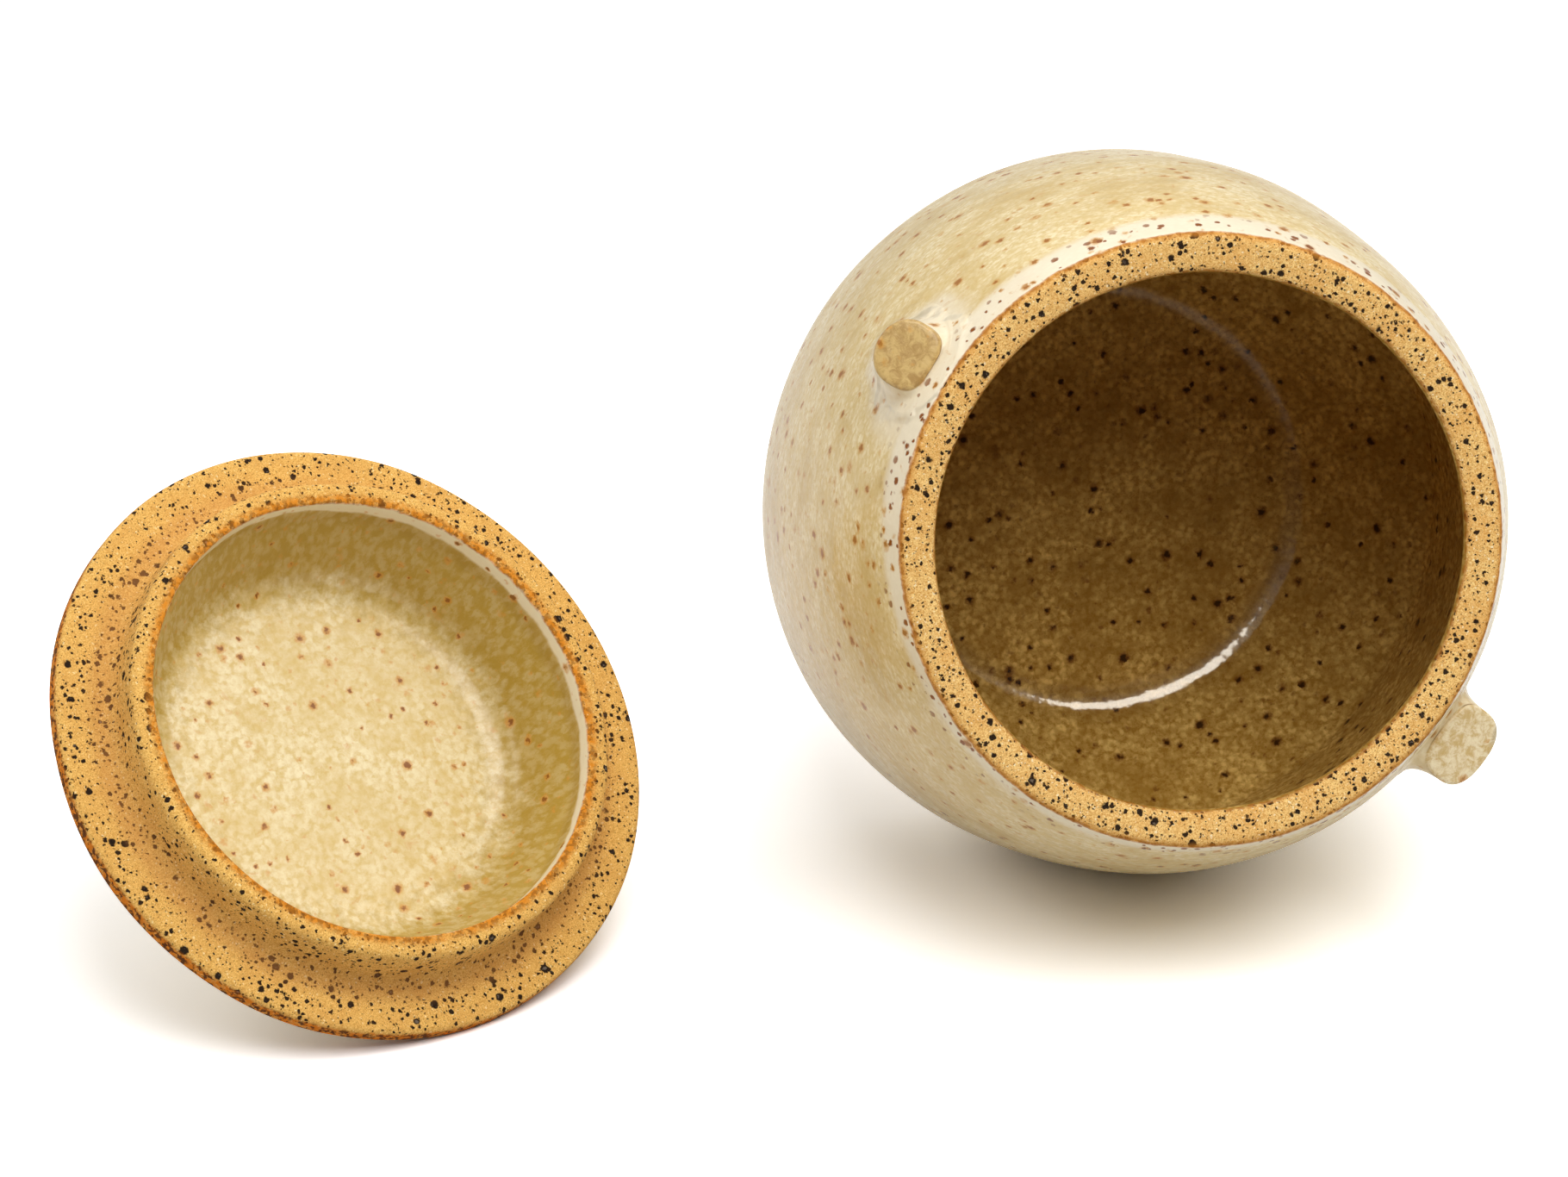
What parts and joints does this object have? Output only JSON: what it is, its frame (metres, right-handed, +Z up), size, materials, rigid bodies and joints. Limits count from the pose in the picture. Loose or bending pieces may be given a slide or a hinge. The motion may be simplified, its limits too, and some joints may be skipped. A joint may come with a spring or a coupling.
{
  "type": "lidded stoneware jar",
  "caption": "Squat round stoneware jar with two stub lugs, lying on its belly, with its knobbed lid upturned beside it.",
  "frame": {"origin": "on the table, under the middle of the bounding box of the lying jar and its lid", "axes": "+Z up, +X from the lid towards the jar, -Y towards the side that the jar's mouth faces"},
  "size_m": [0.3136, 0.1728, 0.1661],
  "materials": {
    "jar_body": "satin speckled cream to olive glaze over toasted clay",
    "lug_left": "satin olive glaze",
    "lug_right": "satin olive glaze",
    "lid": "bare toasted speckled clay round a glazed hollow and dome",
    "lid_knob": "satin cream to olive glaze"
  },
  "bodies": {
    "jar": {"jar_body": "jar_body", "lug_left": "lug_left", "lug_right": "lug_right"},
    "lid": {"lid": "lid", "lid_knob": "lid_knob"}
  },
  "joints": [
    {"name": "lid_lift", "type": "slide", "parent": "jar", "child": "lid", "axis": [0, 0, 1], "range_m": [0, 0.2]}
  ]
}
